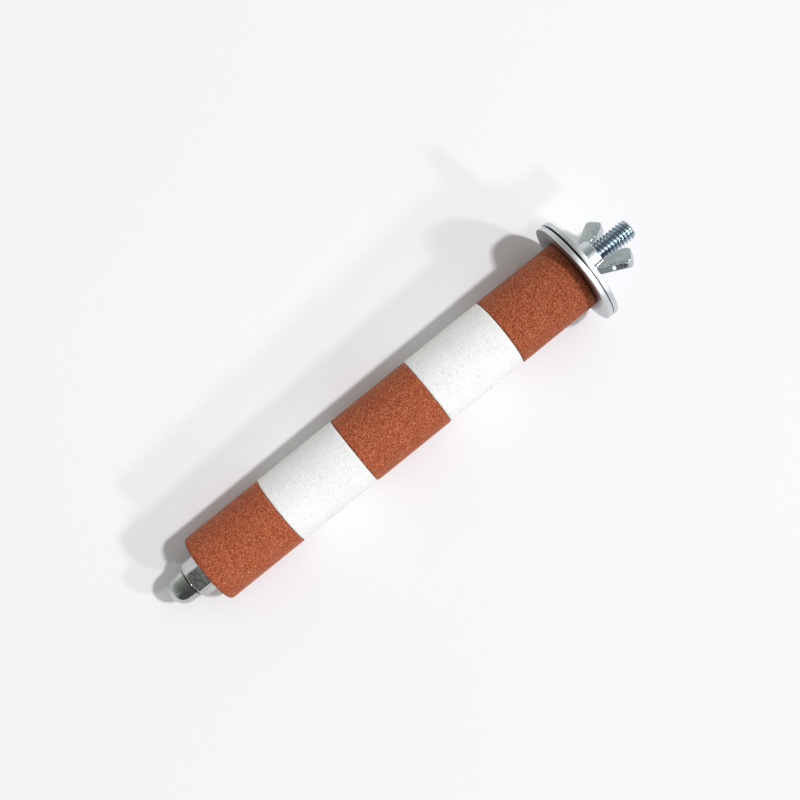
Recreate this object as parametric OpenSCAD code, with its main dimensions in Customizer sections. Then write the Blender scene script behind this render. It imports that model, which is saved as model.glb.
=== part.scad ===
// Bird perch for a cage: five cast mineral stones on a threaded rod, held by a domed
// cap nut at the far end and clamped to the cage bars between two wide washers
// by a wing nut. X runs along the rod towards the wing nut, Z is up, and the origin
// is on the rod's axis at the inner washer's outer face, where the bars are gripped.

/* [Stones] */
// Diameter of the stones
stone_d = 27.2; // [18:0.1:40]
// Length of each stone
stone_len = 33.6; // [20:0.1:60]
// Rounding of the edges where two stones meet
stone_edge = 0.7; // [0.3:0.1:2]
// Rounding of the two outer ends of the row of stones
perch_edge = 1.5; // [0.5:0.1:3]
// Radial play of the stones on the rod
stone_play = 0.4; // [0.2:0.05:0.8]

/* [Threaded rod] */
// Outside diameter of the thread
rod_d = 7.94; // [6:0.01:9]
// Length of thread that stands out of the wing nut
rod_free_len = 15.4; // [6:0.1:40]
// Length of rod inside the cap nut
rod_in_cap = 10.2; // [6:0.1:10.6]
// Chamfer at both ends of the rod
rod_chamfer = 0.8; // [0.3:0.1:1.5]

/* [Cap nut] */
// Width across the flats of the hexagon
cap_flats = 12.7; // [12:0.1:16]
// Length of the hexagon, with its chamfer
cap_hex_len = 7; // [5:0.1:10]
// Angle of the chamfer on the hexagon's corners
cap_chamfer_angle = 32; // [20:1:45]
// Bare rim left outside the hexagon's round seat face
cap_seat_rim = 0.3; // [0.1:0.05:0.6]
// Length of the dome beyond the hexagon
cap_dome_len = 9.1; // [8:0.1:14]
// Diameter of the dome where its round nose starts
cap_nose_d = 10.8; // [10.6:0.1:11.6]
// Taper of the dome's side
cap_dome_taper = 5; // [0:0.5:8]
// Spare depth of the threaded hole past the rod's end
cap_hole_spare = 0.6; // [0.3:0.1:1]
// Turn of the cap nut about the rod
cap_turn = 4; // [0:1:60]

/* [Washers] */
// Outside diameter of both washers
washer_d = 41; // [30:0.5:60]
// Thickness of both washers
washer_t = 2; // [1:0.1:3]
// Rounding of the punched edge
washer_edge = 0.4; // [0.1:0.05:0.45]
// Radial play of the washers on the rod
washer_play = 0.4; // [0.2:0.05:0.8]

/* [Wing nut] */
// Wall of the hub at its base
hub_wall = 2.9; // [2.4:0.1:5]
// Length of the hub
hub_len = 6.9; // [5:0.1:9]
// Draft of the hub's side
hub_draft = 5; // [0:0.5:8]
// Chamfer at the hub's edges
hub_chamfer = 0.4; // [0.2:0.1:0.6]
// Span over both wings
wing_span = 27.3; // [24:0.1:44]
// Height of the wings' tips over the hub's base
wing_height = 16.5; // [14:0.1:24]
// Thickness of a wing at its outer edge
wing_outer_t = 4.2; // [3:0.1:5]
// Thickness of a wing at its inner edge
wing_inner_t = 4.2; // [2:0.1:5]
// Rounding of a wing's outer corner
wing_shoulder = 1.8; // [0.4:0.1:2.2]
// Rounding of a wing's other corners
wing_corner = 1.3; // [0.4:0.1:1.6]
// Depth of the pocket in a wing's outer edge
pocket_depth = 1.3; // [0.5:0.1:2]
// Wall left on each side of the pocket
pocket_wall = 0.8; // [0.5:0.05:1]
// Turn of the wings about the rod
wing_turn = 40; // [0:5:180]

/* [Fits] */
// Gap between the two washers when nothing is clamped
clamp_gap = 0.3; // [0.2:0.1:4]
// Radial running clearance in the threads
thread_clearance = 0.05; // [0.03:0.01:0.1]
// Running gap between the wing nut and the outer washer
nut_gap = 0.05; // [0.03:0.01:0.2]
// Air between the wings' inner edges and the thread
wing_rod_gap = 0.5; // [0.3:0.1:1]

/* [Hidden] */

$fn = 96;
stone_count = 5;
cut_over = 1; // overrun of every cut

red_tint = [0.72, 0.34, 0.22];
white_tint = [0.93, 0.92, 0.89];
zinc_tint = [0.72, 0.75, 0.76];
cap_tint = [0.48, 0.51, 0.50];

rod_r = rod_d / 2;
thread_hole_r = rod_r + thread_clearance;
stone_hole_r = rod_r + stone_play;
washer_hole_r = rod_r + washer_play;

// Stations along the rod, from the cap nut to the free end
stones_end = -washer_t;
stones_start = stones_end - stone_count * stone_len;
rod_start = stones_start - rod_in_cap;
nut_seat = clamp_gap + washer_t + nut_gap;
rod_end = nut_seat + hub_len + rod_free_len;

// Cap nut: a straight tapered side that runs into a round nose
cap_corner_r = cap_flats / 2 / cos(30);
cap_nose_r = cap_nose_d / 2 / cos(cap_dome_taper);
cap_side_len = cap_dome_len - cap_nose_r * (1 - sin(cap_dome_taper));
cap_base_r = cap_nose_d / 2 + cap_side_len * tan(cap_dome_taper);
cap_hole_depth = rod_in_cap + cap_hole_spare;
cap_chamfer_len = (cap_corner_r - cap_base_r) * tan(cap_chamfer_angle);
cap_seat_r = cap_flats / 2 - cap_seat_rim;
cap_seat_chamfer_len = (cap_corner_r - cap_seat_r) * tan(cap_chamfer_angle);
drill_angle = 118;
drill_point = thread_hole_r / tan(drill_angle / 2);
lead_in = hub_chamfer; // countersink at the mouth of a thread

// Wing nut
hub_base_r = rod_r + hub_wall;
hub_top_r = hub_base_r - hub_len * tan(hub_draft);
wing_inner_r = rod_r + wing_rod_gap;
wing_depth = wing_span / 2 - wing_inner_r;
// Corners of a wing: along its height, and out from its inner edge to its span.
// The first and the last lie inside the hub.
wing_corner_shares = [[0.05, 0.09], [0.8, 1], [1, 0.49], [0.92, 0.3], [0.7, 0.1], [0.4, 0.01]];
wing_corners = [for (s = wing_corner_shares) [s[0] * wing_height, wing_inner_r + s[1] * wing_depth]];
// Stretch of the outer edge that the pocket takes
pocket_span_shares = [0.42, 0.87];

// A corner of an outline, rounded to radius r between its two neighbours
function unit(v) = v / norm(v);
function round_corner(before, corner, after, r, steps = 8) =
    let (
        a = unit(before - corner),
        b = unit(after - corner),
        half = acos(a * b) / 2,
        centre = corner + unit(a + b) * r / sin(half),
        from = corner + a * r / tan(half) - centre,
        to = corner + b * r / tan(half) - centre,
        start = atan2(from[1], from[0]),
        turn = atan2(from[0] * to[1] - from[1] * to[0], from * to)
    )
    [for (i = [0:steps]) centre + r * [cos(start + turn * i / steps), sin(start + turn * i / steps)]];

// Stands what was drawn along Z along X instead, starting at x
module along_rod(x) {
    translate([x, 0, 0]) rotate([0, 90, 0]) children();
}

// Half of a round bar's section, with both end edges rounded: radius across, length up
module rounded_section(r, len, low_edge, high_edge) {
    translate([0, low_edge]) square([r, len - low_edge - high_edge]);
    square([r - low_edge, len / 2]);
    translate([r - low_edge, low_edge]) circle(r = low_edge);
    translate([0, len / 2]) square([r - high_edge, len / 2]);
    translate([r - high_edge, len - high_edge]) circle(r = high_edge);
}

// Half of a washer's section, rounded on the side that met the punch
module punched_section(r, len, edge) {
    square([r, len - edge]);
    translate([0, len - edge]) square([r - edge, edge]);
    translate([r - edge, len - edge]) circle(r = edge);
}

// Half of the section of a threaded hole with a lead-in at its mouth, which is at 0
module hole_section(len) {
    polygon([[0, -cut_over], [thread_hole_r + lead_in, -cut_over], [thread_hole_r + lead_in, 0],
        [thread_hole_r, lead_in], [thread_hole_r, len], [0, len]]);
}

module stone(index, tint) {
    low_edge = index == 0 ? perch_edge : stone_edge;
    high_edge = index == stone_count - 1 ? perch_edge : stone_edge;
    color(tint)
        along_rod(stones_start + index * stone_len)
            difference() {
                rotate_extrude() rounded_section(stone_d / 2, stone_len, low_edge, high_edge);
                translate([0, 0, -cut_over]) cylinder(r = stone_hole_r, h = stone_len + 2 * cut_over);
            }
}

module red_stone_1() { stone(0, red_tint); }
module white_stone_2() { stone(1, white_tint); }
module red_stone_3() { stone(2, red_tint); }
module white_stone_4() { stone(3, white_tint); }
module red_stone_5() { stone(4, red_tint); }

module threaded_rod() {
    len = rod_end - rod_start;
    color(zinc_tint)
        along_rod(rod_start)
            rotate_extrude()
                polygon([[0, 0], [rod_r - rod_chamfer, 0], [rod_r, rod_chamfer],
                    [rod_r, len - rod_chamfer], [rod_r - rod_chamfer, len], [0, len]]);
}

module washer() {
    difference() {
        rotate_extrude() punched_section(washer_d / 2, washer_t, washer_edge);
        translate([0, 0, -cut_over]) cylinder(r = washer_hole_r, h = washer_t + 2 * cut_over);
    }
}

// The rounded sides face away from the cage bars
module inner_washer() {
    color(zinc_tint) mirror([1, 0, 0]) along_rod(0) washer();
}

module outer_washer() {
    color(zinc_tint) along_rod(clamp_gap) washer();
}

// Outside of the cap nut, from its seat up: a hexagon chamfered at both ends, then the dome
module cap_outside() {
    intersection() {
        cylinder(r = cap_corner_r, h = cap_hex_len, $fn = 6);
        rotate_extrude()
            polygon([[0, 0], [cap_seat_r, 0], [cap_corner_r, cap_seat_chamfer_len],
                [cap_corner_r, cap_hex_len - cap_chamfer_len],
                [cap_base_r, cap_hex_len], [0, cap_hex_len]]);
    }
    translate([0, 0, cap_hex_len])
        cylinder(r1 = cap_base_r, r2 = cap_nose_d / 2, h = cap_side_len);
    intersection() {
        translate([0, 0, cap_hex_len + cap_dome_len - cap_nose_r]) sphere(r = cap_nose_r);
        translate([0, 0, cap_hex_len + cap_side_len]) cylinder(r = cap_base_r, h = cap_dome_len);
    }
}

module cap_nut() {
    color(cap_tint)
        translate([stones_start, 0, 0]) rotate([0, -90, 0]) rotate([0, 0, 90 - cap_turn])
            difference() {
                cap_outside();
                rotate_extrude() hole_section(cap_hole_depth);
                translate([0, 0, cap_hole_depth]) cylinder(r1 = thread_hole_r, r2 = 0, h = drill_point);
            }
}

module hub() {
    rotate_extrude()
        polygon([[0, 0], [hub_base_r - hub_chamfer, 0], [hub_base_r, hub_chamfer],
            [hub_top_r, hub_len - hub_chamfer], [hub_top_r - hub_chamfer, hub_len], [0, hub_len]]);
}

// One wing, drawn in the XY plane: height along X, out from the rod along Y
module wing_plate() {
    c = wing_corners;
    outline = concat([c[0]],
        round_corner(c[0], c[1], c[2], wing_shoulder),
        round_corner(c[1], c[2], c[3], wing_corner),
        round_corner(c[2], c[3], c[4], wing_corner),
        [c[4], c[5]]);
    intersection() {
        translate([0, 0, -wing_outer_t]) linear_extrude(2 * wing_outer_t) polygon(outline);
        // The plate may taper between its inner edge and its outer one
        rotate([90, 0, 90])
            linear_extrude(wing_height)
                polygon([[wing_inner_r, -wing_inner_t / 2], [wing_span / 2, -wing_outer_t / 2],
                    [wing_span / 2, wing_outer_t / 2], [wing_inner_r, wing_inner_t / 2]]);
    }
}

// The pocket runs along the straight outer edge, between the hub and the outer corner
module wing_pocket() {
    edge = wing_corners[1] - wing_corners[0];
    start = wing_corners[0] + edge * pocket_span_shares[0];
    end = wing_corners[0] + edge * pocket_span_shares[1];
    out = unit([-edge[1], edge[0]]);
    width = wing_outer_t - 2 * pocket_wall;
    translate([0, 0, -width / 2])
        linear_extrude(width)
            polygon([start + out * cut_over, end + out * cut_over,
                end - out * pocket_depth, start - out * pocket_depth]);
}

module wing_nut() {
    color(zinc_tint)
        translate([nut_seat, 0, 0])
            difference() {
                union() {
                    along_rod(0) hub();
                    for (side = [0, 180])
                        rotate([side - wing_turn, 0, 0])
                            difference() {
                                wing_plate();
                                wing_pocket();
                            }
                }
                along_rod(0) rotate_extrude() hole_section(hub_len + cut_over);
                along_rod(hub_len) mirror([0, 0, 1]) rotate_extrude() hole_section(hub_len / 2);
            }
}

threaded_rod();
cap_nut();
red_stone_1();
white_stone_2();
red_stone_3();
white_stone_4();
red_stone_5();
inner_washer();
outer_washer();
wing_nut();
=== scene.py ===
import math

import bmesh
import bpy
from mathutils import Matrix, Vector, noise

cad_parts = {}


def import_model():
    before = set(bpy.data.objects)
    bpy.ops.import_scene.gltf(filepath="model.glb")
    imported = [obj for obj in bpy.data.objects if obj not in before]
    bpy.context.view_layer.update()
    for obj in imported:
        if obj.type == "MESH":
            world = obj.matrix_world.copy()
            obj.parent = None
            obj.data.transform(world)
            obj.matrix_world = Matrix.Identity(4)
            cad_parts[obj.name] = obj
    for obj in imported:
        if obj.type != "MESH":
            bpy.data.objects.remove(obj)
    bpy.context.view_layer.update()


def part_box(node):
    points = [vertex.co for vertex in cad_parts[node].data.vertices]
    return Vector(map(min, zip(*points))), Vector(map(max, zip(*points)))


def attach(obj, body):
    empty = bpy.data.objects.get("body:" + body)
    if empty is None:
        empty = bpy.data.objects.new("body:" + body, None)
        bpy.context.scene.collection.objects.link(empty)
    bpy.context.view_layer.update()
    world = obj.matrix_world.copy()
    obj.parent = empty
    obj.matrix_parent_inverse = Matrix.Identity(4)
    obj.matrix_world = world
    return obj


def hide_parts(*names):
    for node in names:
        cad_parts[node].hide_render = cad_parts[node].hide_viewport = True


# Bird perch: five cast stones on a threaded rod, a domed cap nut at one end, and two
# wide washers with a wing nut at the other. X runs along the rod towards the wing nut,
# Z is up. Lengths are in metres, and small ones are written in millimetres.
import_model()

MM = 0.001
TURN = 2 * math.pi


# Sizes that the CAD boxes don't give

PITCH = 25.4 / 18 * MM  # of the thread
THREAD_DEPTH = 0.61 * PITCH
THREAD_SEGMENTS = 60
THREAD_CLEARANCE = 0.05 * MM
ROD_CHAMFER = 0.8 * MM

STONE_PLAY = 0.4 * MM  # between the stones and the rod
SEAM_EDGE = 0.55 * MM  # rounding where two stones meet
CAP_END_EDGE = 1.5 * MM  # rounding at the cap nut
WASHER_END_EDGE = 0.5 * MM
STONE_EDGE_STEPS = 4
GRAIN_STEP = 0.38 * MM  # mesh size of the stones' skin
# Depth and width of what weathers a stone's skin: its swell, its lumps and its grains
SKIN_LAYERS = ((0.03 * MM, 9 * MM), (0.02 * MM, 2.2 * MM), (0.045 * MM, 0.7 * MM))
SKIN_SWELL = 0.04 * MM  # by which the round side stands out
EDGE_WEAR = 1.2  # how much more an edge is worn than the rest
PIT_DEPTH = 0.1 * MM
PIT_SIZE = 1.3 * MM
PIT_START = 0.42  # level of the noise at which a pit begins
PIT_RANGE = 0.3

WASHER_SEGMENTS = 192
WASHER_STEP = 0.9 * MM  # mesh size of a washer's profile
WASHER_EDGE = 0.4 * MM
WASHER_EDGE_STEPS = 6
WASHER_BURR = 0.05 * MM
WASHER_PLAY = 0.4 * MM
ARC_MIDDLE = 0.3  # how far in from a corner its rounding's middle lies, as a share of the radius
RIM_LEAN = 0.24 * MM
RIM_LEAN_WIDTH = 3 * MM
RIM_LEAN_SIDE = (-0.1, 0.2)  # where the lean begins and is full, as Y over the radius
SHADE_RING_WIDTH = 3.4 * MM  # of the ring of painted shade on the inner washer, round the last stone
SHADE_RING_FADE = 0.6 * SHADE_RING_WIDTH

CAP_SEGMENTS = 216
CAP_STEP = 0.16 * MM  # mesh size along the hexagon
CAP_FLATS = 12.7 * MM
CAP_HEX_LEN = 7 * MM
CAP_CHAMFER_ANGLE = math.radians(32)
CAP_BEVEL = 0.25 * MM  # rounding between the chamfers and the hexagon
CAP_SHARPNESS = 90  # of the hexagon's corners
CAP_SEAT_RIM = 0.3 * MM
CAP_SEAT_CORNER = 0.15 * MM
CAP_HOLE_DEPTH = 2 * MM  # as far as it can be seen
CAP_TURN = math.radians(4)  # of the hexagon about the rod
CAP_NOSE_D = 10.8 * MM
CAP_TAPER = math.radians(5)  # of the dome's straight side
DOME_STEP = 0.4 * MM
NOSE_STEPS = 26
NOSE_END = 1.5  # degrees from the axis at which the nose's point begins
GROOVE = 0.22 * MM  # depth of the groove between the hexagon and the dome
# The groove's shoulder and floor: heights over the hexagon and depths, as shares of GROOVE
GROOVE_SECTION = ((0.4, 0.9), (1, 1))
GROOVE_END = 2  # height at which the dome's side begins, as a share of GROOVE

HUB_WALL = 2.9 * MM
HUB_LEN = 6.9 * MM
HUB_DRAFT = math.radians(5)
HUB_CHAMFER = 0.4 * MM
HUB_SEGMENTS = 96
CAST_STEP = 0.16 * MM  # mesh size of the casting
CAST_SMOOTHINGS = 3
WING_SPAN = 27.3 * MM
WING_HEIGHT = 16.5 * MM
WING_T = 4.2 * MM
WING_SHOULDER = 1.8 * MM  # rounding of the outer corner
WING_CORNER = 1.3 * MM
WING_CORNER_STEPS = 8
WING_FILLET = 0.5 * MM  # between the wings and the hub
WING_TURN = math.radians(40)
WING_ROD_GAP = 0.5 * MM
# Corners of a wing: along its height, and out from its inner edge to its span
WING_CORNER_SHARES = ((0.05, 0.09), (0.8, 1), (1, 0.49), (0.92, 0.3), (0.7, 0.1), (0.4, 0.01))
POCKET_DEPTH = 1.3 * MM
POCKET_WALL = 0.8 * MM
POCKET_TILT = math.radians(3)
POCKET_SPAN_SHARES = (0.42, 0.87)
POCKET_SLOPE_SHARE = 0.36  # stretch of the pocket in which its floor slopes down
SCOOP_STEPS = 24
SCOOP_SEGMENTS = 32
SCOOP_TIP_R = 0.01 * MM
SCOOP_BLUNTNESS = 5  # of its far end

# An edge that turns by more than this looks sharp
THREAD_SHARP = math.radians(35)
CAP_SHARP = math.radians(40)
WASHER_SHARP = math.radians(30)
CASTING_SHARP = math.radians(50)


# Painted shade on the metal, in gaps, the groove and pockets: 0 is none and 1 is full; and the washers'
# punched rims

GAP_PAINTED_SHADE = 0.35  # painted shade on the washers' sides that face each other, in the gap between them
FACING_SIDE_START = 0.8  # share of the thickness, from the round side, at which such a side begins
FACING_SIDE_MARGIN = 0.03 * MM  # left bright at the rim
GROOVE_PAINTED_SHADE = (-0.5, 1.8)  # the cap nut's ring of painted shade in its groove: heights over the hexagon, in GROOVE
EDGE_PAINTED_SHADE = 0.42  # painted shade on the wings' outer edges, beside their faces
EDGE_SKIN = 0.15 * MM  # depth down to which a place counts as the outer edge
POCKET_PAINTED_SHADE = (0.3, 1)  # painted shade in the pocket, from the end of its slope to its far end
POCKET_FADE = 0.5 * MM
POCKET_END_SHARE = 0.04  # how far the painted shade runs past the pocket
ROOT_SHADE_LINE = (0.4 * MM, 1.15 * MM)  # line of painted shade on the hub beside a wing's root, measured from the wing's face
ROOT_FILLET = 0.25 * MM  # how far above the hub's wall that line reaches
RIM_METAL = (0.77, 0.8, 0.8)
RIM_SHARE = 0.6  # how far the punched rim's colour goes from the washer's own to this
RIM_ROUGHER = 0.14


# Places from the CAD model

rod_low, rod_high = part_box("threaded_rod")
cap_low, cap_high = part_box("cap_nut")
inner_low, inner_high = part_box("inner_washer")
outer_low, outer_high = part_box("outer_washer")
first_low, first_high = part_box("red_stone_1")

ROD_R = rod_high[1]
STONE_R = first_high[1]
STONE_BORE_R = ROD_R + STONE_PLAY
WASHER_R = inner_high[1]
THREAD_HOLE_R = ROD_R + THREAD_CLEARANCE
PERCH_MIDDLE = -80 * MM  # along the rod

CAP_SEAT = cap_high[0]
CAP_SEAT_R = CAP_FLATS / 2 - CAP_SEAT_RIM
DOME_LEN = CAP_SEAT - cap_low[0] - CAP_HEX_LEN
NOSE_R = CAP_NOSE_D / 2 / math.cos(CAP_TAPER)
DOME_SIDE_LEN = DOME_LEN - NOSE_R * (1 - math.sin(CAP_TAPER))
DOME_BASE_R = CAP_NOSE_D / 2 + DOME_SIDE_LEN * math.tan(CAP_TAPER)

HUB_R = ROD_R + HUB_WALL
NUT_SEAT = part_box("wing_nut")[0][0]
NUT_TOP = NUT_SEAT + HUB_LEN
WING_INNER_R = ROD_R + WING_ROD_GAP
WING_DEPTH = WING_SPAN / 2 - WING_INNER_R

STONES = ("red_stone_1", "white_stone_2", "red_stone_3", "white_stone_4", "red_stone_5")
# No two castings are quite alike: tone, and strength of the grain
STONE_TONES = (1.0, 0.99, 0.97, 1.0, 0.88)
STONE_GRAINS = (1.0, 1.0, 1.15, 1.1, 1.25)


# Meshes

MERGE_DISTANCE = 0.0005 * MM
PAINTED_SHADE_LAYER = "painted_shade"  # name of the value that tells the metal where to paint shade


def mix(a, b, share):
    return a + (b - a) * share


def rise(value, low, high):
    """From 0 to 1 as the value goes from low to high."""
    return min(max((value - low) / (high - low), 0.0), 1.0)


def arc(centre, radius, start, end, steps):
    """Points (x, r) on an arc of a lathe profile, angles in degrees from +x towards +r."""
    points = []
    for i in range(steps + 1):
        angle = math.radians(mix(start, end, i / steps))
        points.append((centre[0] + radius * math.cos(angle), centre[1] + radius * math.sin(angle)))
    return points


def filled(points, step, closed=True):
    """A profile with points added so that no stretch is longer than step."""
    result = []
    last = len(points) if closed else len(points) - 1
    for i in range(last):
        a = Vector(points[i])
        b = Vector(points[(i + 1) % len(points)])
        parts = max(1, math.ceil((b - a).length / step))
        result += [tuple(a.lerp(b, k / parts)) for k in range(parts)]
    if not closed:
        result.append(points[-1])
    return result


def band(here, there, segments):
    """The faces between two rings, each given by the number of its first vertex."""
    faces = []
    for j in range(segments):
        k = (j + 1) % segments
        faces.append((here + j, here + k, there + k, there + j))
    return faces


def revolved(profile, segments):
    """Vertices and faces of a closed (x, r) profile turned about the rod."""
    verts = []
    for x, r in profile:
        for j in range(segments):
            angle = TURN * j / segments
            verts.append(Vector((x, r * math.cos(angle), r * math.sin(angle))))
    faces = []
    rings = len(profile)
    for i in range(rings):
        faces += band(i * segments, (i + 1) % rings * segments, segments)
    return verts, faces


def outward(verts, faces):
    """A mesh with its normals turned outwards and its double vertices merged."""
    mesh = bpy.data.meshes.new("shape")
    mesh.from_pydata(verts, [], faces)
    shape = bmesh.new()
    shape.from_mesh(mesh)
    bmesh.ops.remove_doubles(shape, verts=shape.verts, dist=MERGE_DISTANCE)
    bmesh.ops.dissolve_degenerate(shape, edges=shape.edges, dist=MERGE_DISTANCE)
    bmesh.ops.recalc_face_normals(shape, faces=shape.faces)
    shape.to_mesh(mesh)
    shape.free()
    return mesh


def linked(name, data):
    """A new object in the scene that shows a mesh, a lamp or a camera."""
    holder = bpy.data.objects.new(name, data)
    bpy.context.scene.collection.objects.link(holder)
    return holder


def dress(piece, material, body, node, sharp_angle=None):
    """Gives a piece its material and its place on the frame."""
    piece.data.materials.clear()
    piece.data.materials.append(material)
    piece.data.polygons.foreach_set("use_smooth", [True] * len(piece.data.polygons))
    if sharp_angle is not None:
        piece.data.set_sharp_from_angle(angle=sharp_angle)
    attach(piece, body)
    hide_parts(node)


def apply_modifiers(piece):
    """Works a piece's modifiers into its mesh."""
    bpy.context.view_layer.update()
    graph = bpy.context.evaluated_depsgraph_get()
    mesh = bpy.data.meshes.new_from_object(piece.evaluated_get(graph))
    piece.modifiers.clear()
    piece.data = mesh


def mark_painted_shade(mesh, shade_at):
    """Tells the metal's material where to paint shade on a mesh, by a value for each vertex."""
    layer = mesh.attributes.new(PAINTED_SHADE_LAYER, "FLOAT", "POINT")
    layer.data.foreach_set("value", [shade_at(vert.co) for vert in mesh.vertices])


def cut(piece, cutter, operation="DIFFERENCE"):
    modifier = piece.modifiers.new("cut", "BOOLEAN")
    modifier.operation = operation
    modifier.solver = "EXACT"
    modifier.object = cutter
    apply_modifiers(piece)
    bpy.data.objects.remove(cutter)


# Shader helpers

NOISE_REACH = (0.3, 0.7)  # where nearly all of a noise lies


class Shader:
    """The node tree of a material or of the world, built from a few short calls."""

    def __init__(self, owner):
        owner.use_nodes = True
        self.owner = owner
        self.nodes = owner.node_tree.nodes
        self.links = owner.node_tree.links
        places = self.nodes.new("ShaderNodeTexCoord")
        self.place = places.outputs["Object"]
        self.way = places.outputs["Generated"]

    def feed(self, socket, value):
        """Gives a socket its value: a number, a colour or another node's output."""
        if isinstance(value, (int, float)):
            socket.default_value = value
        elif isinstance(value, tuple):
            socket.default_value = (*value, 1)
        else:
            self.links.new(value, socket)

    def moved(self, offset=(0, 0, 0), scale=(1, 1, 1)):
        node = self.nodes.new("ShaderNodeMapping")
        node.inputs["Location"].default_value = offset
        node.inputs["Scale"].default_value = scale
        self.feed(node.inputs["Vector"], self.place)
        return node.outputs["Vector"]

    def noise(self, size, detail=2.0, roughness=0.5, place=None):
        """Noise whose features measure about size metres."""
        node = self.nodes.new("ShaderNodeTexNoise")
        node.inputs["Scale"].default_value = 1 / size
        node.inputs["Detail"].default_value = detail
        node.inputs["Roughness"].default_value = roughness
        self.feed(node.inputs["Vector"], place or self.place)
        return node.outputs["Fac"]

    def cells(self, size, place):
        """Cells of about this size: each one's own colour, and the distance from its middle."""
        node = self.nodes.new("ShaderNodeTexVoronoi")
        node.inputs["Scale"].default_value = 1 / size
        self.feed(node.inputs["Vector"], place)
        return node.outputs["Color"], node.outputs["Distance"]

    def axes(self, place):
        """The X, Y and Z parts of a place or a direction."""
        node = self.nodes.new("ShaderNodeSeparateXYZ")
        self.feed(node.inputs[0], place)
        return node.outputs

    def split(self, colour):
        """The three channels of a colour, as numbers."""
        node = self.nodes.new("ShaderNodeSeparateColor")
        self.feed(node.inputs[0], colour)
        return node.outputs

    def outside(self, low_r, high_r):
        """From 0 to 1 between two distances from the rod's axis."""
        axes = self.axes(self.place)
        across = self.math("MULTIPLY", axes["Y"], axes["Y"])
        up = self.math("MULTIPLY", axes["Z"], axes["Z"])
        r = self.math("POWER", self.math("ADD", across, up), 0.5)
        return self.range(r, low_r, high_r)

    def painted_shade(self):
        """Painted shade: 1 where the mesh asks for it, as in a pocket."""
        node = self.nodes.new("ShaderNodeAttribute")
        node.attribute_name = PAINTED_SHADE_LAYER
        return node.outputs["Fac"]

    def math(self, operation, a, b):
        node = self.nodes.new("ShaderNodeMath")
        node.operation = operation
        self.feed(node.inputs[0], a)
        self.feed(node.inputs[1], b)
        return node.outputs[0]

    def added(self, value, mask, amount):
        """A value raised by amount times mask."""
        return self.math("ADD", value, self.math("MULTIPLY", mask, amount))

    def range(self, value, low, high, to_low=0.0, to_high=1.0):
        node = self.nodes.new("ShaderNodeMapRange")
        node.inputs["From Min"].default_value = low
        node.inputs["From Max"].default_value = high
        node.inputs["To Min"].default_value = to_low
        node.inputs["To Max"].default_value = to_high
        self.feed(node.inputs["Value"], value)
        return node.outputs["Result"]

    def spread(self, noise, low=0.0, high=1.0):
        """A noise stretched so that it fills the range from low to high."""
        return self.range(noise, *NOISE_REACH, low, high)

    def blend(self, share, a, b, mode="MIX"):
        """Colours a and b, mixed by share: each is a colour or a socket."""
        node = self.nodes.new("ShaderNodeMix")
        node.data_type = "RGBA"
        node.blend_type = mode
        # A mix of colours takes its share first, and the colours as its inputs 6 and 7
        self.feed(node.inputs[0], share)
        self.feed(node.inputs[6], a)
        self.feed(node.inputs[7], b)
        return node.outputs[2]

    def spotted(self, colour, mask, strength, spot):
        """A colour that turns to that of the spot where mask is 1, as far as strength says."""
        return self.blend(self.math("MULTIPLY", mask, strength), colour, spot)

    def bump(self, height, depth, below=None):
        node = self.nodes.new("ShaderNodeBump")
        node.inputs["Strength"].default_value = 1
        node.inputs["Distance"].default_value = depth
        self.feed(node.inputs["Height"], height)
        if below is not None:
            self.feed(node.inputs["Normal"], below)
        return node.outputs["Normal"]

    def finish(self, colour, roughness, normal, **scalars):
        """Links a material's surface, sets its other values and returns the material."""
        surface = self.nodes["Principled BSDF"]
        self.feed(surface.inputs["Base Color"], colour)
        self.feed(surface.inputs["Roughness"], roughness)
        self.feed(surface.inputs["Normal"], normal)
        for name, value in scalars.items():
            surface.inputs[name.replace("_", " ")].default_value = value
        return self.owner


# Materials

# The grains of a stone: sizes as shares of its grain size
SAND_SIZE = 0.36
DUST_SIZE = 0.2
CELL_SIZE = 0.52
SPECK_SIZE = 0.6
# How much the sand, the single cells and the dust say in a grain's tone
SAND_SHARE = 0.55
CELL_SHARE = 0.3
DUST_SHARE = 0.15
GLINT_CELLS = (0.86, 0.9)  # only the few cells with a value above this glint
GLINT_SPOT = (0.5, 0.3)  # from a cell's edge to its middle, where it glints
SPECKS = (0.62, 0.7)  # level of the noise at which a dark speck begins and is full
SPECK_OFFSET = (0.3, 0.2)
SPOT_STRENGTH = 0.6  # of the glints and the specks
SPOT_RELIEF = 0.08 * MM
DUST_RELIEF = 0.03 * MM
STONE_CLOUD = 11 * MM
STONE_CLOUD_DEPTH = 0.02
STONE_ROUGHNESS = (0.8, 0.95)

METAL_CLOUD = 6 * MM
METAL_CLOUD_REACH = (0.35, 0.65)
WAVE_SIZE = 1.8 * MM
SCRATCH_SIZE = 0.5 * MM
SCRATCH_ROUGHNESS = (-0.05, 0.07)  # by which the scratches change a metal's roughness
STAIN_SIZE = 2.6 * MM
STAINS = (0.58, 0.75)  # level of the noise at which a stain begins and is full
STAIN_STRENGTH = 0.5
STAIN_ROUGHER = 0.12
# How far the painted shade turns the metal to its dark colour
PAINTED_SHADE_STRENGTH = 0.85
# Where the dark colour on the thread's crest begins and is full, as shares of its depth
DARK_CREST = (0.2, 0.07)
PUNCHED_RIM = (0.25 * MM, 0.1 * MM)  # in from the washer's rim


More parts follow.
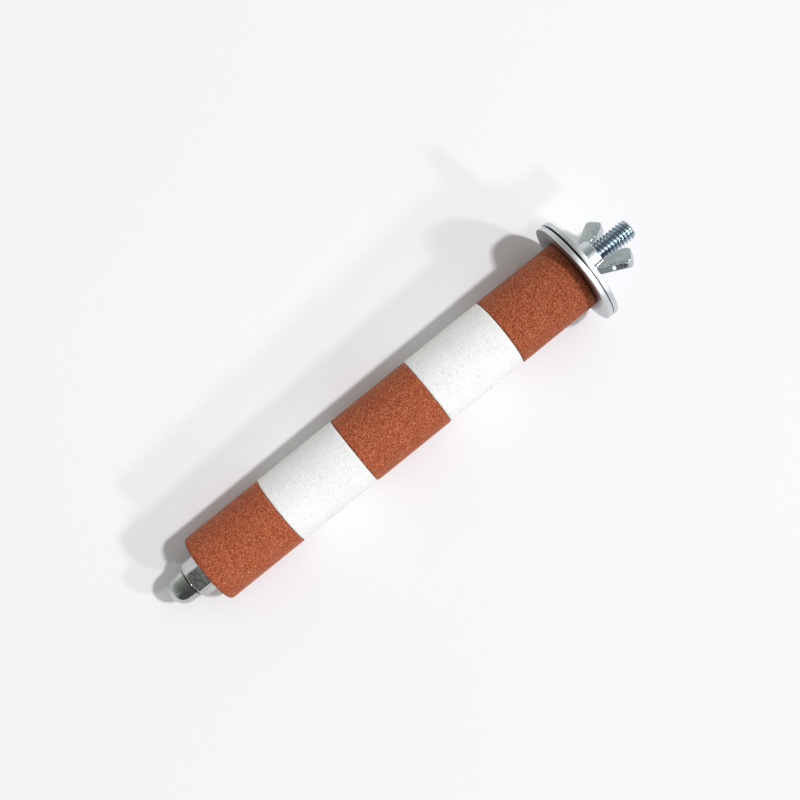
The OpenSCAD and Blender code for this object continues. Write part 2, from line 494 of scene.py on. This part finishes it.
def stone_material(name, body, dark, light, glint, tone, seed, grain_level, width, grain_size, relief):
    """Cast mineral: coarse sand in which each grain has its own tone, with specks between.

    body is the main colour, and dark, light and glint are those of single grains. width
    says how far the tones reach, and relief how high the sand stands.
    """
    shader = Shader(bpy.data.materials.new(name))
    place = shader.moved(offset=(seed, 0, 0))
    speck_place = shader.moved(offset=(seed, *SPECK_OFFSET))
    cloud = shader.noise(STONE_CLOUD, place=place)
    sand = shader.noise(SAND_SIZE * grain_size, roughness=0.6, place=place)
    dust = shader.noise(DUST_SIZE * grain_size, roughness=0.6, place=place)
    cell_colour, cell_distance = shader.cells(CELL_SIZE * grain_size, place)
    cell_values = shader.split(cell_colour)
    glint_cells = shader.range(cell_values[1], *GLINT_CELLS)
    glints = shader.math("MULTIPLY", glint_cells, shader.range(cell_distance, *GLINT_SPOT))
    specks = shader.noise(SPECK_SIZE * grain_size, detail=1, place=speck_place)
    specks = shader.range(specks, *SPECKS)

    grain = shader.math("MULTIPLY", shader.spread(sand), SAND_SHARE)
    grain = shader.added(grain, cell_values[0], CELL_SHARE)
    grain = shader.added(grain, shader.spread(dust), DUST_SHARE)
    reach = width / grain_level
    colour = shader.blend(shader.range(grain, 0.5, 0.5 - reach), body, dark)
    colour = shader.blend(shader.range(grain, 0.5, 0.5 + reach), colour, light)
    colour = shader.spotted(colour, glints, SPOT_STRENGTH, glint)
    colour = shader.spotted(colour, specks, SPOT_STRENGTH, dark)
    level = shader.spread(cloud, tone * (1 - STONE_CLOUD_DEPTH), tone * (1 + STONE_CLOUD_DEPTH))
    colour = shader.blend(1.0, colour, level, mode="MULTIPLY")

    roughness = shader.spread(sand, *STONE_ROUGHNESS)
    normal = shader.bump(sand, relief)
    normal = shader.bump(dust, DUST_RELIEF, below=normal)
    normal = shader.bump(shader.math("SUBTRACT", glints, specks), SPOT_RELIEF, below=normal)
    # The sheen is the dust on the skin, which lightens the stone's edges
    return shader.finish(
        colour, roughness, normal, Specular_IOR_Level=0.12,
        Sheen_Weight=0.25, Sheen_Roughness=0.3, Sheen_Tint=(1, 0.95, 0.8, 1))


def red_stone(tone, grain_level, seed):
    return stone_material(
        "red_stone_%d" % seed,
        body=(0.362, 0.0825, 0.0323), dark=(0.205, 0.036, 0.011),
        light=(0.6, 0.19, 0.093), glint=(0.8, 0.4, 0.24),
        tone=tone, seed=seed, grain_level=grain_level,
        width=0.25, grain_size=0.8 * MM, relief=0.1 * MM)


def white_stone(tone, grain_level, seed):
    return stone_material(
        "white_stone_%d" % seed,
        body=(0.9, 0.9, 0.884), dark=(0.81, 0.805, 0.77),
        light=(0.92, 0.92, 0.918), glint=(0.93, 0.93, 0.93),
        tone=tone, seed=seed, grain_level=grain_level,
        width=0.7, grain_size=1.2 * MM, relief=0.32 * MM)


def plated_material(name, bright, dull, tarnish_and_shade, roughness, wave, grain,
                    place_scale=(1, 1, 1), dark_crest_r=None, rim_r=None):
    """Plated metal: a slightly clouded, finely scratched skin over a soft waviness.

    The first pair of radii says where a thread's crest turns dark, and rim_r the pair where a punched rim
    begins, bright and matt.
    """
    shader = Shader(bpy.data.materials.new(name))
    stretched = shader.moved(scale=place_scale)
    cloud = shader.noise(METAL_CLOUD, detail=3, roughness=0.6)
    scratches = shader.noise(SCRATCH_SIZE, detail=3, roughness=0.7, place=stretched)
    waves = shader.noise(WAVE_SIZE)
    stains = shader.range(shader.noise(STAIN_SIZE, detail=4, roughness=0.7), *STAINS)

    colour = shader.blend(shader.range(cloud, *METAL_CLOUD_REACH), bright, dull)
    # The dark colour serves both the real stains and the painted shade
    colour = shader.spotted(colour, stains, STAIN_STRENGTH, tarnish_and_shade)
    # Painted shade in the dark colour, where the mesh's value asks for it
    colour = shader.spotted(colour, shader.painted_shade(), PAINTED_SHADE_STRENGTH, tarnish_and_shade)
    rough = shader.spread(scratches, *(roughness + change for change in SCRATCH_ROUGHNESS))
    rough = shader.added(rough, stains, STAIN_ROUGHER)
    # The thread's crest turns dark
    if dark_crest_r is not None:
        colour = shader.blend(shader.outside(*dark_crest_r), colour, tarnish_and_shade)
    if rim_r is not None:
        rim = shader.outside(*rim_r)
        colour = shader.spotted(colour, rim, RIM_SHARE, RIM_METAL)
        rough = shader.added(rough, rim, RIM_ROUGHER)
    normal = shader.bump(waves, wave)
    normal = shader.bump(scratches, grain, below=normal)
    return shader.finish(colour, rough, normal, Metallic=1.0)


def zinc_thread():
    return plated_material(
        "zinc_thread",
        bright=(0.54, 0.63, 0.68), dull=(0.42, 0.505, 0.57), tarnish_and_shade=(0.1, 0.12, 0.135),
        roughness=0.23, wave=0.01 * MM, grain=0.008 * MM,
        dark_crest_r=[ROD_R - share * THREAD_DEPTH for share in DARK_CREST])


def zinc_washer():
    return plated_material(
        "zinc_washer",
        bright=(0.61, 0.64, 0.64), dull=(0.5, 0.53, 0.535), tarnish_and_shade=(0.27, 0.285, 0.285),
        roughness=0.3, wave=0.03 * MM, grain=0.02 * MM, place_scale=(0.25, 1, 1),
        rim_r=[WASHER_R - inwards for inwards in PUNCHED_RIM])


def cast_wing_nut():
    return plated_material(
        "cast_wing_nut",
        bright=(0.63, 0.69, 0.725), dull=(0.52, 0.57, 0.605), tarnish_and_shade=(0.06, 0.065, 0.07),
        roughness=0.24, wave=0.09 * MM, grain=0.025 * MM)


def polished_cap():
    return plated_material(
        "polished_cap",
        bright=(0.56, 0.58, 0.56), dull=(0.43, 0.445, 0.43), tarnish_and_shade=(0.13, 0.135, 0.13),
        roughness=0.1, wave=0.06 * MM, grain=0.012 * MM)


# Stones

STONE_MATERIALS = {"red_stone": red_stone, "white_stone": white_stone}


def weathering(point, seed, across):
    """How far the skin lies under the mould's surface at a point.

    across is 1 on the round side and 0 on an end face.
    """
    at = point + Vector((seed, 0, 0))
    worn = sum(depth * (0.5 + 0.5 * noise.noise(at / size)) for depth, size in SKIN_LAYERS)
    pit = max(0.0, noise.noise(at / PIT_SIZE) - PIT_START) / PIT_RANGE
    return worn + PIT_DEPTH * pit - SKIN_SWELL * across


def stone_profile(x0, x1, low_edge, high_edge):
    steps = STONE_EDGE_STEPS
    outer = [(x1, STONE_BORE_R), (x1, STONE_R - high_edge)]
    outer += arc((x1 - high_edge, STONE_R - high_edge), high_edge, 0, 90, steps)[1:]
    outer += arc((x0 + low_edge, STONE_R - low_edge), low_edge, 90, 180, steps)
    outer += [(x0, STONE_BORE_R)]
    return filled(outer, GRAIN_STEP, closed=False)


def stone(index, name):
    low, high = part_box(name)
    low_edge = CAP_END_EDGE if index == 0 else SEAM_EDGE
    high_edge = WASHER_END_EDGE if index == len(STONES) - 1 else SEAM_EDGE
    profile = stone_profile(low[0], high[0], low_edge, high_edge)
    segments = round(TURN * STONE_R / GRAIN_STEP)
    verts, faces = revolved(profile, segments)
    middle = (low[0] + high[0]) / 2
    half = (high[0] - low[0]) / 2
    for i, vert in enumerate(verts):
        x, r = profile[i // segments]
        # The bore stays plain
        if r < STONE_BORE_R + GRAIN_STEP / 10:
            continue
        # The way out of the surface: along the rod on an end face, across it on the side
        edge = high_edge if x > middle else low_edge
        along = max(0.0, abs(x - middle) - (half - edge)) / edge
        across = max(0.0, r - (STONE_R - edge)) / edge
        end_way = Vector((math.copysign(along, x - middle), 0, 0))
        side_way = Vector((0, vert[1], vert[2])).normalized() * across
        normal = (end_way + side_way).normalized()
        wear = 1 + EDGE_WEAR * min(along, across)
        verts[i] = vert - normal * weathering(vert, index, min(across, 1.0)) * wear
    piece = linked("stone_%d" % (index + 1), outward(verts, faces))
    slot = name.rsplit("_", 1)[0]
    material = STONE_MATERIALS[slot](STONE_TONES[index], STONE_GRAINS[index], index)
    dress(piece, material, "perch", name)


# Threads

# Places along one pitch where the thread's section has a point, and the halves of its
# flat crest and root as shares of the pitch
THREAD_PHASES = (0.0, 0.04, 0.085, 0.25, 0.4, 0.45, 0.55, 0.6, 0.75, 0.915, 0.96)
CREST_HALF = 0.0625
ROOT_HALF = 0.09
THREAD_ROUNDING = 0.06  # share of the depth by which the crest and the root are rounded


def thread_height(phase):
    """The rounded section of the thread: 1 at the crest, 0 at the root."""
    away = min(phase % 1, 1 - phase % 1)
    up = (0.5 - ROOT_HALF - away) / (0.5 - ROOT_HALF - CREST_HALF)
    if up >= 1:
        return 1 - THREAD_ROUNDING * (away / CREST_HALF) ** 2
    if up <= 0:
        return THREAD_ROUNDING * ((0.5 - away) / ROOT_HALF) ** 2
    return THREAD_ROUNDING + (1 - 2 * THREAD_ROUNDING) * up


def threaded_surface(x0, x1, crest_r, limit):
    """Rings that follow the helix, so that every crest and root has its own points."""
    first = math.floor(x0 / PITCH) - 1
    last = math.ceil(x1 / PITCH) + 1
    rows = [turn + phase for turn in range(first, last) for phase in THREAD_PHASES]
    verts = []
    for row in rows:
        for j in range(THREAD_SEGMENTS):
            share = j / THREAD_SEGMENTS
            x = min(max((row + share) * PITCH, x0), x1)
            r = crest_r - THREAD_DEPTH * (1 - thread_height(x / PITCH - share))
            r = min(r, limit(x))
            verts.append((x, r * math.cos(TURN * share), r * math.sin(TURN * share)))
    faces = []
    step = len(THREAD_PHASES)
    for i in range(len(rows) - 1):
        for j in range(THREAD_SEGMENTS):
            here = i * THREAD_SEGMENTS + j
            # The last column joins the first one a whole turn further on
            if j < THREAD_SEGMENTS - 1:
                beside = here + 1
            elif i + step + 1 < len(rows):
                beside = (i + step) * THREAD_SEGMENTS
            else:
                continue
            faces.append((here, beside, beside + THREAD_SEGMENTS, here + THREAD_SEGMENTS))
    return verts, faces


def closed_ends(mesh):
    """Fills the open rings at both ends of a threaded surface."""
    shape = bmesh.new()
    shape.from_mesh(mesh)
    rims = [edge for edge in shape.edges if edge.is_boundary]
    ends = bmesh.ops.holes_fill(shape, edges=rims, sides=0)["faces"]
    bmesh.ops.poke(shape, faces=ends)
    bmesh.ops.recalc_face_normals(shape, faces=shape.faces)
    shape.to_mesh(mesh)
    shape.free()
    return mesh


def threaded_rod():
    x0 = rod_low[0]
    x1 = rod_high[0]

    def chamfer(x):
        return ROD_R - ROD_CHAMFER + min(x - x0, x1 - x)

    verts, faces = threaded_surface(x0, x1, ROD_R, chamfer)
    piece = linked("thread", closed_ends(outward(verts, faces)))
    dress(piece, zinc_thread(), "perch", "threaded_rod", THREAD_SHARP)


# Cap nut

CAP_ANGLES = [TURN * j / CAP_SEGMENTS for j in range(CAP_SEGMENTS)]


def soft_min(a, b, softness):
    """The smaller of two lengths, with the corner between them rounded."""
    gap = max(softness - abs(a - b), 0) / softness
    return min(a, b) - gap * gap * softness / 4


def hexagon_radius(angle):
    """Distance from the axis to the hexagon's side, with its corners slightly rounded."""
    total = 0.0
    for k in range(6):
        facing = math.cos(angle - TURN * (k + 0.5) / 6)
        if facing > 0:
            total += facing ** CAP_SHARPNESS
    return CAP_FLATS / 2 / total ** (1 / CAP_SHARPNESS)


def cap_ring(height, radii):
    """Vertices of a ring over the seat, with a radius for each angle."""
    verts = []
    for angle, r in zip(CAP_ANGLES, radii):
        turned = angle + math.pi / 2 - CAP_TURN
        verts.append(Vector((CAP_SEAT - height, r * math.sin(turned), r * math.cos(turned))))
    return verts


def round_ring(height, radius):
    return cap_ring(height, [radius] * CAP_SEGMENTS)


def hexagon_ring(height):
    """The hexagon at a height over the seat, cut by the chamfers at its two ends."""
    slope = 1 / math.tan(CAP_CHAMFER_ANGLE)
    dome_cone = DOME_BASE_R + (CAP_HEX_LEN - height) * slope
    seat_cone = CAP_SEAT_R + height * slope
    radii = []
    for angle in CAP_ANGLES:
        r = soft_min(hexagon_radius(angle), dome_cone, CAP_BEVEL)
        radii.append(soft_min(r, seat_cone, CAP_BEVEL))
    return cap_ring(height, radii)


def dome_profile():
    """Heights over the hexagon and radii: the groove, the straight side, the round nose."""
    groove = [(height * GROOVE, DOME_BASE_R - depth * GROOVE) for height, depth in GROOVE_SECTION]
    side_start = GROOVE_END * GROOVE
    start_r = DOME_BASE_R - side_start * math.tan(CAP_TAPER)
    side = filled([(side_start, start_r), (DOME_SIDE_LEN, CAP_NOSE_D / 2)], DOME_STEP, closed=False)
    nose_start = 90 - math.degrees(CAP_TAPER)
    nose = arc((DOME_LEN - NOSE_R, 0), NOSE_R, nose_start, NOSE_END, NOSE_STEPS)
    return groove + side + nose[1:]


def cap_shape():
    """The cap nut's mesh: rings from its hole to its nose, then the point and the hole."""
    verts = []
    for r in (THREAD_HOLE_R, mix(THREAD_HOLE_R, CAP_SEAT_R, 0.5), CAP_SEAT_R - CAP_SEAT_CORNER):
        verts += round_ring(0, r)
    for height, _ in filled([(0, 0), (CAP_HEX_LEN, 0)], CAP_STEP, closed=False):
        verts += hexagon_ring(height)
    for height, r in dome_profile():
        verts += round_ring(CAP_HEX_LEN + height, r)
    last_ring = len(verts) - CAP_SEGMENTS
    nose_point = len(verts)
    verts.append(Vector((cap_low[0], 0, 0)))
    hole_point = len(verts)
    verts.append(Vector((CAP_SEAT - CAP_HOLE_DEPTH, 0, 0)))
    hole_ring = len(verts)
    verts += round_ring(CAP_HOLE_DEPTH, THREAD_HOLE_R)

    faces = []
    for here in range(0, last_ring, CAP_SEGMENTS):
        faces += band(here, here + CAP_SEGMENTS, CAP_SEGMENTS)
    faces += band(0, hole_ring, CAP_SEGMENTS)
    for j in range(CAP_SEGMENTS):
        k = (j + 1) % CAP_SEGMENTS
        faces.append((last_ring + j, last_ring + k, nose_point))
        faces.append((hole_ring + j, hole_ring + k, hole_point))
    return outward(verts, faces)


# Painted shade in the groove between the hexagon and the dome
def groove_painted_shade(at):
    height = CAP_SEAT - at[0] - CAP_HEX_LEN
    return float(GROOVE_PAINTED_SHADE[0] * GROOVE < height < GROOVE_PAINTED_SHADE[1] * GROOVE)


def cap_nut():
    piece = linked("cap", cap_shape())
    mark_painted_shade(piece.data, groove_painted_shade)
    dress(piece, polished_cap(), "perch", "cap_nut", CAP_SHARP)


# Washers

def washer_profile(x_flat, x_round):
    """Flat on the side of the cage bars, rolled over on the other by the punch."""
    bore = ROD_R + WASHER_PLAY
    burr = WASHER_BURR
    roll = WASHER_EDGE
    out = math.copysign(1, x_round - x_flat)
    profile = [
        (x_flat, bore + burr),
        (x_flat, WASHER_R - burr),
        (x_flat + out * burr * ARC_MIDDLE, WASHER_R - burr * ARC_MIDDLE),
        (x_flat + out * burr, WASHER_R),
    ]
    for i in range(WASHER_EDGE_STEPS + 1):
        angle = math.pi / 2 * i / WASHER_EDGE_STEPS
        back = roll * (1 - math.sin(angle))
        inwards = roll * (1 - math.cos(angle))
        profile.append((x_round - out * back, WASHER_R - inwards))
    profile += [
        (x_round, bore + roll),
        (x_round - out * roll * ARC_MIDDLE, bore + roll * ARC_MIDDLE),
        (x_round - out * roll, bore),
        (x_flat + out * burr, bore),
    ]
    return filled(profile, WASHER_STEP)


def fallen_away(vert, x_flat, x_round):
    """The flat side leans back near the rim, on the side away from the lamps."""
    r = math.hypot(vert[1], vert[2])
    near_rim = rise(r, WASHER_R - RIM_LEAN_WIDTH, WASHER_R)
    side = rise(vert[1] / r, *RIM_LEAN_SIDE)
    flatness = rise(vert[0], x_round, x_flat)
    lean = RIM_LEAN * near_rim * side * flatness
    return vert + Vector((math.copysign(lean, x_round - x_flat), 0, 0))


def washer(node, name, x_flat, x_round, body, metal, shade_ring_r=0.0):
    """The last argument is the radius of the ring of painted shade on the washer's round side, round the
    stones.
    """
    verts, faces = revolved(washer_profile(x_flat, x_round), WASHER_SEGMENTS)
    verts = [fallen_away(vert, x_flat, x_round) for vert in verts]
    piece = linked(name, outward(verts, faces))

    def shade_at(at):
        r = math.hypot(at[1], at[2])
        # Painted shade on the sides that face each other across the gap
        if rise(at[0], x_round, x_flat) > FACING_SIDE_START:
            return GAP_PAINTED_SHADE * (r < WASHER_R - FACING_SIDE_MARGIN)
        # Painted shade in a ring on the round side, round the last stone
        return rise(r, shade_ring_r, shade_ring_r - SHADE_RING_FADE)

    mark_painted_shade(piece.data, shade_at)
    dress(piece, metal, body, node, WASHER_SHARP)


# Wing nut

def wing_corner(height_share, depth_share):
    """A corner of a wing, as its place along the rod and its distance from the axis."""
    return Vector((NUT_SEAT + height_share * WING_HEIGHT, WING_INNER_R + depth_share * WING_DEPTH))


WING_CORNERS = [wing_corner(*shares) for shares in WING_CORNER_SHARES]
# The outer edge, which holds the pocket, and the way out of it
WING_EDGE = WING_CORNERS[1] - WING_CORNERS[0]
WING_OUT = Vector((-WING_EDGE[1], WING_EDGE[0])).normalized()


def rounded_corner(before, corner, after, radius):
    a = (before - corner).normalized()
    b = (after - corner).normalized()
    half = a.angle(b) / 2
    centre = corner + (a + b).normalized() * radius / math.sin(half)
    start = corner + a * radius / math.tan(half) - centre
    end = corner + b * radius / math.tan(half) - centre
    turn = start.angle_signed(end)
    points = []
    for i in range(WING_CORNER_STEPS + 1):
        cos = math.cos(-turn * i / WING_CORNER_STEPS)
        sin = math.sin(-turn * i / WING_CORNER_STEPS)
        along = start[0] * cos - start[1] * sin
        out = start[0] * sin + start[1] * cos
        points.append(centre + Vector((along, out)))
    return points


def prism(outline, thickness):
    """A plate with this outline in XY, and this thickness in Z."""
    count = len(outline)
    verts = []
    for sign in (-1, 1):
        verts += [(x, y, sign * thickness / 2) for x, y in outline]
    faces = [tuple(range(count)), tuple(range(2 * count - 1, count - 1, -1))]
    for i in range(count):
        j = (i + 1) % count
        faces.append((i, j, count + j, count + i))
    return outward(verts, faces)


def scoop():
    """The pocket's cutter: a rounded bar that dips deeper towards the outer corner."""
    start, end = (WING_CORNERS[0] + WING_EDGE * share for share in POCKET_SPAN_SHARES)
    half = (end - start).length / 2
    radius = WING_T / 2 - POCKET_WALL
    profile = [(-half, SCOOP_TIP_R)]
    for i in range(SCOOP_STEPS + 1):
        along = -math.cos(math.pi * i / SCOOP_STEPS)
        # A sloping start and a blunt end
        slope = (along + 1) / 2 / POCKET_SLOPE_SHARE
        blunt = (1 - max(along, 0) ** SCOOP_BLUNTNESS) ** 0.5
        profile.append((along * half, max(radius * min(slope, blunt), 2 * SCOOP_TIP_R)))
    profile.append((half, SCOOP_TIP_R))
    cutter = linked("scoop", outward(*revolved(profile, SCOOP_SEGMENTS)))
    way = (end - start).normalized()
    dip = (radius - POCKET_DEPTH) * WING_OUT
    middle = (start + end) / 2 + dip
    turn = Matrix.Rotation(math.atan2(way[1], way[0]) - POCKET_TILT, 4, "Z")
    cutter.data.transform(Matrix.Translation(Vector((middle[0], middle[1], 0))) @ turn)
    return cutter


def wing():
    corners = WING_CORNERS
    outline = [corners[0]]
    for i, radius in enumerate((WING_SHOULDER, WING_CORNER, WING_CORNER), start=1):
        outline += rounded_corner(corners[i - 1], corners[i], corners[i + 1], radius)
    outline += corners[4:]
    plate = linked("wing", prism(outline, WING_T))
    cut(plate, scoop())
    return plate


def on_root_line(local):
    """Whether a place, seen from a wing, is on the hub just beside that wing's root."""
    from_face = abs(local[2]) - WING_T / 2
    on_hub = math.hypot(local[1], local[2]) < HUB_R + ROOT_FILLET
    return on_hub and local[1] > 0 and ROOT_SHADE_LINE[0] < from_face < ROOT_SHADE_LINE[1]


def wing_painted_shade(at):
    """Painted shade on the wing nut: its wings' outer edges a little, the pockets in them and a line beside
    their roots most."""
    slope_end = mix(*POCKET_SPAN_SHARES, POCKET_SLOPE_SHARE)
    pocket_end = POCKET_SPAN_SHARES[1] + POCKET_END_SHARE
    darkest = 0.0
    for side in (0, math.pi):
        local = Matrix.Rotation(WING_TURN - side, 3, "X") @ at
        # Painted shade on the hub beside the wing's root
        if on_root_line(local):
            darkest = 1.0
        place = local.xy - WING_CORNERS[0]
        share = place.dot(WING_EDGE) / WING_EDGE.length_squared
        depth = -place.dot(WING_OUT)
        between = abs(local[2]) < WING_T / 2 - POCKET_WALL / 2
        if not between or depth > POCKET_DEPTH + POCKET_FADE or share > pocket_end:
            continue
        # Painted shade along the wing's outer edge
        if depth < EDGE_SKIN:
            darkest = max(darkest, EDGE_PAINTED_SHADE)
        # Painted shade deep in the pocket, darkest at its far end
        elif share > slope_end:
            deepness = rise(depth, EDGE_SKIN, EDGE_SKIN + POCKET_FADE)
            far = (share - slope_end) / (pocket_end - slope_end)
            darkest = max(darkest, deepness * mix(*POCKET_PAINTED_SHADE, far))
    return darkest


def hub():
    """The hub before its bore is cut, with a narrow core left open round the axis."""
    top_r = HUB_R - HUB_LEN * math.tan(HUB_DRAFT)
    chamfer = HUB_CHAMFER
    core = 0.5 * MM
    profile = [
        (NUT_SEAT, core),
        (NUT_SEAT, HUB_R - chamfer),
        (NUT_SEAT + chamfer, HUB_R),
        (NUT_TOP - chamfer, top_r),
        (NUT_TOP, top_r - chamfer),
        (NUT_TOP, core),
    ]
    return linked("nut", outward(*revolved(profile, HUB_SEGMENTS)))


def hub_bore():
    """The cutter for the threaded hole, with a countersink at both ends."""
    lead = HUB_CHAMFER
    over = 1 * MM
    core = 0.05 * MM
    profile = [
        (NUT_SEAT - over, core),
        (NUT_SEAT - over, THREAD_HOLE_R + lead),
        (NUT_SEAT, THREAD_HOLE_R + lead),
        (NUT_SEAT + lead, THREAD_HOLE_R),
        (NUT_TOP - lead, THREAD_HOLE_R),
        (NUT_TOP, THREAD_HOLE_R + lead),
        (NUT_TOP + over, THREAD_HOLE_R + lead),
        (NUT_TOP + over, core),
    ]
    return linked("bore", outward(*revolved(profile, HUB_SEGMENTS)))


def cast(piece):
    """Makes one even skin of a piece."""
    remesh = piece.modifiers.new("cast", "REMESH")
    remesh.mode = "VOXEL"
    remesh.voxel_size = CAST_STEP
    apply_modifiers(piece)


def fillet(piece):
    """Swells and shrinks a piece, which rounds its inner corners and leaves the rest."""
    for step in (WING_FILLET, -WING_FILLET):
        swell = piece.modifiers.new("swell", "DISPLACE")
        swell.mid_level = 0
        swell.strength = step
        apply_modifiers(piece)
        cast(piece)


def wing_nut():
    piece = hub()
    for side in (0, math.pi):
        plate = wing()
        plate.data.transform(Matrix.Rotation(side - WING_TURN, 4, "X"))
        cut(piece, plate, "UNION")
    cast(piece)
    fillet(piece)
    smooth = piece.modifiers.new("soften", "SMOOTH")
    smooth.factor = 0.5
    smooth.iterations = CAST_SMOOTHINGS
    apply_modifiers(piece)
    cut(piece, hub_bore())
    mark_painted_shade(piece.data, wing_painted_shade)
    dress(piece, cast_wing_nut(), "wing_nut", "wing_nut", CASTING_SHARP)


# Floor, lights and camera

FLOOR_HALF = 12
FLOOR_TINTS = ((0.824, 0.817, 0.829), (0.832, 0.825, 0.837))
FLOOR_CLOUD = 0.2
FLOOR_ROUGHNESS = (0.9, 0.95)
FLOOR_GRAIN = 1 * MM
FLOOR_RELIEF = 0.002 * MM

LAMP_DISTANCE = 6.0
LAMP_COLOUR = (0.99, 0.99, 1.01)
# Each lamp's name, the way towards it, its size, and its level: 1 shows white as white
LAMPS = (
    ("key", (0.48, -0.27, 1), 0.44, 0.595),
    ("side", (0.85, -0.92, 1), 0.5, 0.205),
    ("low", (0.32, -1.58, 1), 0.5, 0.175),
)

# How bright the room is, from the horizon (0) to straight up (1)
ROOM_LEVELS = ((0.0, 0.61), (0.12, 0.61), (0.3, 0.49), (0.6, 0.33), (0.85, 0.21), (0.96, 0.14))
ROOM_TINT = (0.965, 1, 0.93)
# The room's unlit side, and the Y and the Z of a direction where it begins and is full
UNLIT_COLOUR = (0.1, 0.105, 0.105)
UNLIT_SIDE = (-0.08, -0.38)
UNLIT_HEIGHT = (0.02, 0.12)
# The pale screen overhead, beside the key lamp
GLOW_WAY = (0.35, 0.02, 0.93)
GLOW_LEVEL = 1.05
GLOW_ANGLES = (32, 19)  # degrees from its middle where the screen ends and where it is full

CAMERA_AT = Vector((-90.06, 7.29, 493.08)) * MM
CAMERA_FORWARD = Vector((0.0233, -0.007, -0.9997))
CAMERA_UP = Vector((0.6291, 0.7773, 0.0092))
# In millimetres, as the camera counts them
FOCAL_LENGTH = 61.95
SENSOR_WIDTH = 36


def tinted(tint, level):
    return tuple(channel * level for channel in tint)


def floor_material():
    shader = Shader(bpy.data.materials.new("studio_floor"))
    shade = shader.spread(shader.noise(FLOOR_CLOUD, detail=1))
    colour = shader.blend(shade, *FLOOR_TINTS)
    roughness = shader.range(shade, 0, 1, *FLOOR_ROUGHNESS)
    normal = shader.bump(shader.noise(FLOOR_GRAIN), FLOOR_RELIEF)
    return shader.finish(colour, roughness, normal, Specular_IOR_Level=0.0)


def floor():
    """The perch lies on its washer's rim and on the lower edge of its far end."""
    washer_x = inner_low[0]
    stone_x = first_low[0] + CAP_END_EDGE
    slope = (WASHER_R - STONE_R) / (stone_x - washer_x)
    height = -WASHER_R + (PERCH_MIDDLE - washer_x) * slope
    verts = []
    for x, y in ((-1, -1), (1, -1), (1, 1), (-1, 1)):
        verts.append((PERCH_MIDDLE + x * FLOOR_HALF, y * FLOOR_HALF, height + x * FLOOR_HALF * slope))
    mesh = bpy.data.meshes.new("floor")
    mesh.from_pydata(verts, [], [(0, 1, 2, 3)])
    mesh.materials.append(floor_material())
    linked("floor", mesh)


def lamp(name, direction, size, level):
    """An area lamp that lights a surface facing it at this level."""
    towards = Vector(direction).normalized()
    light = bpy.data.lights.new(name, "AREA")
    light.shape = "DISK"
    light.size = size
    light.energy = level * (math.pi * LAMP_DISTANCE) ** 2
    light.color = LAMP_COLOUR
    holder = linked(name, light)
    holder.location = Vector((PERCH_MIDDLE, 0, 0)) + towards * LAMP_DISTANCE
    holder.rotation_euler = towards.to_track_quat("Z", "Y").to_euler()


def room_colour(shader, height):
    """The room's walls and ceiling, for the upward part of a direction."""
    ramp = shader.nodes.new("ShaderNodeValToRGB")
    steps = ramp.color_ramp.elements
    # The ramp comes with two steps
    for _ in ROOM_LEVELS[2:]:
        steps.new(0.5)
    for step, (place, level) in zip(steps, ROOM_LEVELS):
        step.position = place
        step.color = (*tinted(ROOM_TINT, level), 1)
    shader.feed(ramp.inputs[0], height)
    return ramp.outputs[0]


def glow(shader):
    """1 inside the screen overhead, and 0 outside it."""
    facing = shader.nodes.new("ShaderNodeVectorMath")
    facing.operation = "DOT_PRODUCT"
    shader.feed(facing.inputs[0], shader.way)
    facing.inputs[1].default_value = Vector(GLOW_WAY).normalized()
    outer, inner = (math.cos(math.radians(angle)) for angle in GLOW_ANGLES)
    return shader.range(facing.outputs["Value"], outer, inner)


def world():
    """A pale room: light walls, a darker ceiling, and an unlit side behind the lamps."""
    surround = bpy.data.worlds.new("studio")
    shader = Shader(surround)
    axes = shader.axes(shader.way)
    towards_lamps = shader.range(axes["Y"], *UNLIT_SIDE)
    above_floor = shader.range(axes["Z"], *UNLIT_HEIGHT)
    unlit = shader.math("MULTIPLY", towards_lamps, above_floor)
    colour = shader.blend(unlit, room_colour(shader, axes["Z"]), UNLIT_COLOUR)
    colour = shader.blend(glow(shader), colour, tinted(LAMP_COLOUR, GLOW_LEVEL))
    shader.feed(shader.nodes["Background"].inputs["Color"], colour)
    bpy.context.scene.world = surround


def camera():
    forward = CAMERA_FORWARD.normalized()
    right = forward.cross(CAMERA_UP).normalized()
    up = right.cross(forward)
    lens = bpy.data.cameras.new("camera")
    lens.sensor_width = SENSOR_WIDTH
    lens.lens = FOCAL_LENGTH
    holder = linked("camera", lens)
    turn = Matrix((right, up, -forward)).transposed()
    holder.matrix_world = Matrix.Translation(CAMERA_AT) @ turn.to_4x4()
    bpy.context.scene.camera = holder


# The whole scene

for index, name in enumerate(STONES):
    stone(index, name)
threaded_rod()
cap_nut()
washer_zinc = zinc_washer()
washer("inner_washer", "washer_in", inner_high[0], inner_low[0], "perch", washer_zinc, STONE_R + SHADE_RING_WIDTH)
washer("outer_washer", "washer_out", outer_low[0], outer_high[0], "outer_washer", washer_zinc)
wing_nut()
floor()
for settings in LAMPS:
    lamp(*settings)
world()
camera()
bpy.context.scene.view_settings.view_transform = "Standard"
